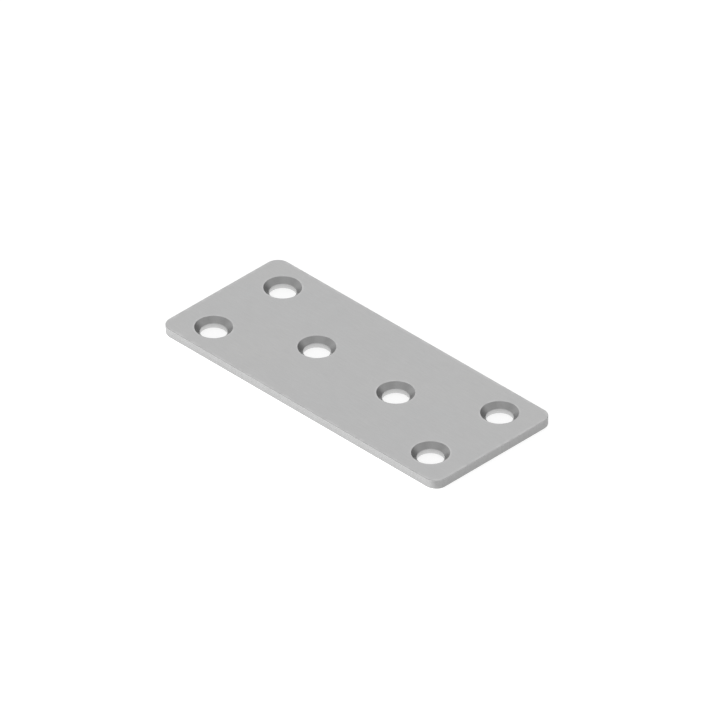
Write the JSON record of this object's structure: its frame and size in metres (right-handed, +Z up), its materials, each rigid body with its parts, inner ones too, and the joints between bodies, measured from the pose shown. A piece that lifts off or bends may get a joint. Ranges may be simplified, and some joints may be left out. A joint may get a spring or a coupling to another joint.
{
  "type": "extrusion joining plate",
  "caption": "Flat steel plate with rounded corners and countersunk screw holes, for joining aluminium framing extrusions end to end or side by side.",
  "frame": {"origin": "centre of the underside, the face that lies on the extrusions", "axes": "+X along the 70 mm length, +Y across the 30 mm width, +Z up through the 2 mm thickness, towards the face that the countersinks open on"},
  "size_m": [0.07, 0.03, 0.002],
  "materials": {
    "plated_steel": "satin"
  },
  "bodies": {
    "root": {"joining_plate": "plated_steel"}
  },
  "joints": []
}
